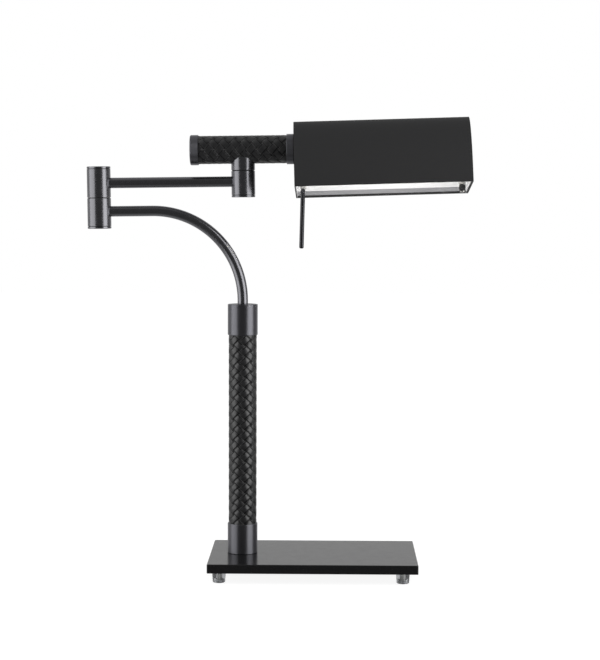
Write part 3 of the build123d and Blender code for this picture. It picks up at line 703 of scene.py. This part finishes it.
# ---- Operators ----
class PIANOLAMP_OT_studio(bpy.types.Operator):
    """Put up the floor, two tall light panels, the surroundings and the camera."""

    bl_idname = "piano_lamp.studio"
    bl_label = "Studio"

    def execute(self, context):
        settings = context.scene.piano_lamp
        build_floor()
        middle = (cad_box[0] + cad_box[1]) / 2
        panel_height = 1.7
        panel_distance = 1.1
        panel_middle_height = 0.65
        for name, side, panel_width, level in (
            ("right_panel", math.radians(63), 0.93, settings.right_light),
            ("left_panel", math.radians(-68), 1.1, settings.left_light),
        ):
            light = bpy.data.lights.new(name, "AREA")
            light.shape = "RECTANGLE"
            light.size = panel_width
            light.size_y = panel_height
            light.energy = level * math.pi * panel_width * panel_height
            panel = bpy.data.objects.new(name, light)
            away = Vector((math.sin(side), -math.cos(side), 0))
            target = Vector((stem_axis.translation.x, middle.y, panel_middle_height))
            panel.location = target + away * panel_distance
            panel.rotation_euler = away.to_track_quat("Z", "Y").to_euler()
            panel.visible_camera = False
            context.scene.collection.objects.link(panel)
        build_surroundings(context.scene, settings.room_light)
        place_camera(context.scene)
        context.scene.view_settings.view_transform = "Standard"
        return {"FINISHED"}


def build_floor():
    """A pale floor that carries the lamp's shadow."""
    half = 6.0
    below_feet = -0.2 * MM
    mesh = bpy.data.meshes.new("floor")
    corners = [(x, y, below_feet) for x, y in ((-half, -half), (half, -half), (half, half), (-half, half))]
    mesh.from_pydata(corners, [], [(0, 1, 2, 3)])
    floor = bpy.data.objects.new("floor", mesh)
    bpy.context.scene.collection.objects.link(floor)
    material = bpy.data.materials.new("pale_floor")
    material.use_nodes = True
    tree = material.node_tree
    tree.nodes.clear()
    path = add_node(tree, "ShaderNodeLightPath").outputs
    plain_grey = (0.8, 0.8, 0.8, 1)
    shadow_grey = (0.25, 0.25, 0.25, 1)
    glow_level = 0.9
    plain = add_node(tree, "ShaderNodeBsdfDiffuse", [plain_grey])
    lit = add_node(tree, "ShaderNodeBsdfDiffuse", [shadow_grey])
    glow = add_node(tree, "ShaderNodeEmission", [(1, 1, 1, 1), glow_level])
    seen = add_node(tree, "ShaderNodeAddShader", [lit, glow])
    mixed = add_node(tree, "ShaderNodeMixShader", [path["Is Camera Ray"], plain, seen])
    add_node(tree, "ShaderNodeOutputMaterial", [mixed])
    mesh.materials.append(material)
    floor.visible_glossy = False


def build_surroundings(scene, level):
    """White behind the lamp, dim on the camera's side, and an even level for the diffuse light."""
    world = bpy.data.worlds.new("studio")
    world.use_nodes = True
    tree = world.node_tree
    tree.nodes.clear()
    path = add_node(tree, "ShaderNodeLightPath").outputs
    direction = add_node(tree, "ShaderNodeTexCoord").outputs["Generated"]
    parts = add_node(tree, "ShaderNodeSeparateXYZ", [direction])
    front_level = 0.08
    left_level = 0.45
    right_level = 0.25
    back_level = 0.6
    flank = ramp(tree, parts.outputs["Y"], -0.8, 0.2, interpolation_type="SMOOTHSTEP")
    flank_level = ramp(tree, parts.outputs["X"], -0.3, 0.3, left_level, right_level)
    near = add_node(tree, "ShaderNodeMix", {"Factor": flank, "A": front_level, "B": flank_level})
    behind = ramp(tree, parts.outputs["Y"], 0.55, 0.85, interpolation_type="SMOOTHSTEP")
    grey = add_node(tree, "ShaderNodeMix", {"Factor": behind, "A": near, "B": back_level})
    room = add_node(tree, "ShaderNodeCombineColor", [grey, grey, grey])
    calculate, _ = maths(tree)
    mirrored = calculate("MAXIMUM", path["Is Glossy Ray"], path["Is Transmission Ray"])
    backdrop = blend(tree, mirrored, (level, level, level, 1), room)
    seen = blend(tree, path["Is Camera Ray"], backdrop, (1, 1, 1, 1))
    add_node(tree, "ShaderNodeOutputWorld", [add_node(tree, "ShaderNodeBackground", [seen, 1.0])])
    scene.world = world


def place_camera(scene):
    """A long lens in front of the lamp, at the height of its shade, that looks slightly down."""
    yaw, pitch, roll = -0.01564, 0.07124, 0.003
    forward = Vector((math.sin(yaw) * math.cos(pitch), math.cos(yaw) * math.cos(pitch), -math.sin(pitch)))
    level_right = Vector((math.cos(yaw), -math.sin(yaw), 0))
    level_up = level_right.cross(forward)
    right = level_right * math.cos(roll) + level_up * math.sin(roll)
    up = level_up * math.cos(roll) - level_right * math.sin(roll)
    focal_length = 103.64
    place = Vector((0.05762, -2.1169, 0.4243))
    lens = bpy.data.cameras.new("camera")
    lens.lens = focal_length
    camera = bpy.data.objects.new("camera", lens)
    turned = Matrix((right, up, -forward)).transposed().to_4x4()
    camera.matrix_world = Matrix.Translation(place) @ turned
    scene.collection.objects.link(camera)
    scene.camera = camera


class PIANOLAMP_OT_finishes(bpy.types.Operator):
    """Give every CAD piece its own finish, or that of its slot."""

    bl_idname = "piano_lamp.finishes"
    bl_label = "Finishes"

    def execute(self, context):
        for row in frame["record"]["subparts"]:
            materials = frame["nodes"][row["node"]].data.materials
            materials.clear()
            materials.append(finish_for(row["material_slot"], row["node"]))
        return {"FINISHED"}


def plait_piece(settings, name, node, body, place, turn, rise, opening=0.0, opening_height=0.0):
    """One plaited sleeve in the room of its CAD node."""
    bottom, top, radius = reach(node, place)
    row_height = 0.9 * MM
    sizes = {
        "Straps": settings.straps,
        "Crossings over": settings.crossings_over,
        "Pitch": settings.pitch,
        "Radius": radius,
        "Thickness": settings.strap_thickness,
        "Cover": 0.95,
        "Crown": 0.12 * MM,
        "Crispness": 4.0,
        "Bottom": bottom,
        "Top": top,
        "Rows": round((top - bottom) / row_height),
        "Turn": turn,
        "Rise": rise,
        "Opening": opening,
        "Opening height": opening_height,
    }
    tree = bpy.data.node_groups.get("plaited_sleeve") or plait_tree()
    piece = grow(name, tree, sizes, finish_for("leather"), place)
    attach(piece, body)
    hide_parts(node)


class PIANOLAMP_OT_stem_plait(bpy.types.Operator):
    """Plait the stem's leather sleeve."""

    bl_idname = "piano_lamp.stem_plait"
    bl_label = "Stem plait"

    def execute(self, context):
        settings = context.scene.piano_lamp
        plait_piece(
            settings, "stem_plait", "stem_sleeve", "stand", stem_axis, settings.stem_turn, settings.stem_rise
        )
        return {"FINISHED"}


class PIANOLAMP_OT_handle_plait(bpy.types.Operator):
    """Plait the handle's leather sleeve."""

    bl_idname = "piano_lamp.handle_plait"
    bl_label = "Handle plait"

    def execute(self, context):
        saddle_low, saddle_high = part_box("saddle")
        saddle_radius = (saddle_high.y - saddle_low.y) / 2
        saddle_place = handle_axis.inverted() @ ((saddle_low + saddle_high) / 2)
        tuck = 0.3 * MM
        rise = 0.0
        settings = context.scene.piano_lamp
        plait_piece(
            settings, "handle_plait", "handle_sleeve", "head", handle_axis, settings.handle_turn, rise,
            opening=saddle_radius - tuck, opening_height=saddle_place.z,
        )
        return {"FINISHED"}


class PIANOLAMP_OT_dimmer_knob(bpy.types.Operator):
    """Grow the dimmer's fluted knob in place of its plain CAD knob."""

    bl_idname = "piano_lamp.dimmer_knob"
    bl_label = "Dimmer knob"

    def execute(self, context):
        _, top, radius = reach("dimmer_knob", knob_axis)
        sizes = {
            "Radius": radius,
            "Bottom": 0.0,
            "Top": top,
            "Edge": 1.1 * MM,
            "Flutes": context.scene.piano_lamp.flutes,
            "Flute depth": 0.28 * MM,
        }
        knob = grow("fluted_knob", knob_tree(), sizes, finish_for("knob_plastic"), knob_axis)
        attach(knob, "knob")
        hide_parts("dimmer_knob")
        return {"FINISHED"}


class PIANOLAMP_PT_panel(bpy.types.Panel):
    """The lamp's settings and steps, in the 3D view's sidebar."""

    bl_label = "Piano lamp"
    bl_idname = "PIANOLAMP_PT_panel"
    bl_space_type = "VIEW_3D"
    bl_region_type = "UI"
    bl_category = "Piano lamp"

    def draw(self, context):
        for name in PianoLampSettings.__annotations__:
            self.layout.prop(context.scene.piano_lamp, name)
        for operator in OPERATORS:
            self.layout.operator(operator.bl_idname)


OPERATORS = (
    PIANOLAMP_OT_studio,
    PIANOLAMP_OT_finishes,
    PIANOLAMP_OT_stem_plait,
    PIANOLAMP_OT_handle_plait,
    PIANOLAMP_OT_dimmer_knob,
)
CLASSES = (PianoLampSettings, *OPERATORS, PIANOLAMP_PT_panel)


def register():
    for kind in CLASSES:
        bpy.utils.register_class(kind)
    bpy.types.Scene.piano_lamp = bpy.props.PointerProperty(type=PianoLampSettings)


def unregister():
    del bpy.types.Scene.piano_lamp
    for kind in reversed(CLASSES):
        bpy.utils.unregister_class(kind)


def main():
    register()
    bpy.ops.piano_lamp.studio()
    bpy.ops.piano_lamp.finishes()
    bpy.ops.piano_lamp.stem_plait()
    bpy.ops.piano_lamp.handle_plait()
    bpy.ops.piano_lamp.dimmer_knob()


if __name__ == "__main__":
    main()
